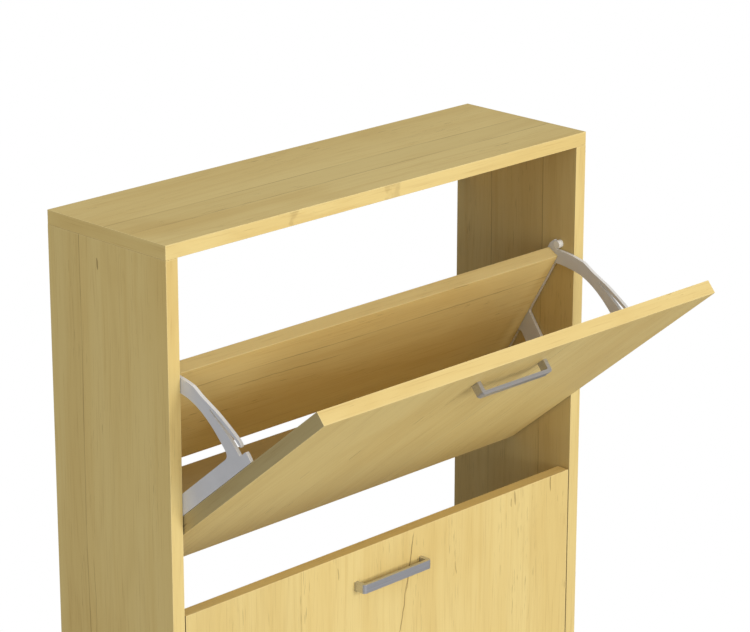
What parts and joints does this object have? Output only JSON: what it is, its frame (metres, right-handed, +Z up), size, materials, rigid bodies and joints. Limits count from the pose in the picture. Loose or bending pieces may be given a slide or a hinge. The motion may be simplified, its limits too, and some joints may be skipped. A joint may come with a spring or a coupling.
{
  "type": "tilt-out shoe cabinet",
  "caption": "Slim upright wooden shoe cabinet with tilt-out flaps one above the other, the upper one open, bar handles and plastic side brackets.",
  "frame": {"origin": "on the floor, at the centre of the base panel's underside, which is mount floor_rest", "axes": "+X to the cabinet's right as seen from the front, +Y towards its back, +Z up"},
  "size_m": [0.6, 0.3695, 0.765],
  "materials": {
    "carcass_wood": "light beech-like foil with a satin finish",
    "door_wood": "light beech-like foil with a satin finish",
    "inner_wood": "light beech-like foil with a satin finish",
    "dowel_wood": "bare turned beech",
    "bracket_plastic": "light grey moulded plastic with a faint texture",
    "pin_plastic": "off-white moulded plastic",
    "handle_metal": "brushed along its length",
    "screw_steel": "zinc-plated"
  },
  "bodies": {
    "carcass": {"top_panel": "carcass_wood", "base_panel": "carcass_wood", "rear_rail": "carcass_wood", "side_panel_left": "carcass_wood", "side_panel_right": "carcass_wood", "dowel_left_top_front": "dowel_wood", "dowel_left_base_front": "dowel_wood", "dowel_left_top_back": "dowel_wood", "dowel_left_base_back": "dowel_wood", "dowel_left_rail": "dowel_wood", "dowel_right_top_front": "dowel_wood", "dowel_right_base_front": "dowel_wood", "dowel_right_top_back": "dowel_wood", "dowel_right_base_back": "dowel_wood", "dowel_right_rail": "dowel_wood", "upper_pivot_pin_left": "pin_plastic", "upper_pivot_pin_right": "pin_plastic", "upper_stop_pin_left": "pin_plastic", "upper_stop_pin_right": "pin_plastic", "lower_pivot_pin_left": "pin_plastic", "lower_pivot_pin_right": "pin_plastic", "lower_stop_pin_left": "pin_plastic", "lower_stop_pin_right": "pin_plastic"},
    "upper_flap": {"upper_door": "door_wood", "upper_back_board": "inner_wood", "upper_floor_board": "inner_wood", "upper_handle": "handle_metal", "upper_bracket_left": "bracket_plastic", "upper_bracket_right": "bracket_plastic", "upper_handle_screw_left": "screw_steel", "upper_door_screw_left_upper": "screw_steel", "upper_door_screw_left_lower": "screw_steel", "upper_back_upper_screw_left": "screw_steel", "upper_back_lower_screw_left": "screw_steel", "upper_floor_screw_left": "screw_steel", "upper_handle_screw_right": "screw_steel", "upper_door_screw_right_upper": "screw_steel", "upper_door_screw_right_lower": "screw_steel", "upper_back_upper_screw_right": "screw_steel", "upper_back_lower_screw_right": "screw_steel", "upper_floor_screw_right": "screw_steel"},
    "lower_flap": {"lower_door": "door_wood", "lower_back_board": "inner_wood", "lower_floor_board": "inner_wood", "lower_handle": "handle_metal", "lower_bracket_left": "bracket_plastic", "lower_bracket_right": "bracket_plastic", "lower_handle_screw_left": "screw_steel", "lower_door_screw_left_upper": "screw_steel", "lower_door_screw_left_lower": "screw_steel", "lower_back_upper_screw_left": "screw_steel", "lower_back_lower_screw_left": "screw_steel", "lower_floor_screw_left": "screw_steel", "lower_handle_screw_right": "screw_steel", "lower_door_screw_right_upper": "screw_steel", "lower_door_screw_right_lower": "screw_steel", "lower_back_upper_screw_right": "screw_steel", "lower_back_lower_screw_right": "screw_steel", "lower_floor_screw_right": "screw_steel"}
  },
  "joints": [
    {"name": "upper_flap_tilt", "type": "hinge", "parent": "carcass", "child": "upper_flap", "pos_m": [0, -0.06, 0.4815], "axis": [1, 0, 0], "range_deg": [-50.25, 0]},
    {"name": "lower_flap_tilt", "type": "hinge", "parent": "carcass", "child": "lower_flap", "pos_m": [0, -0.06, 0.115], "axis": [1, 0, 0], "range_deg": [0, 50.25]}
  ]
}
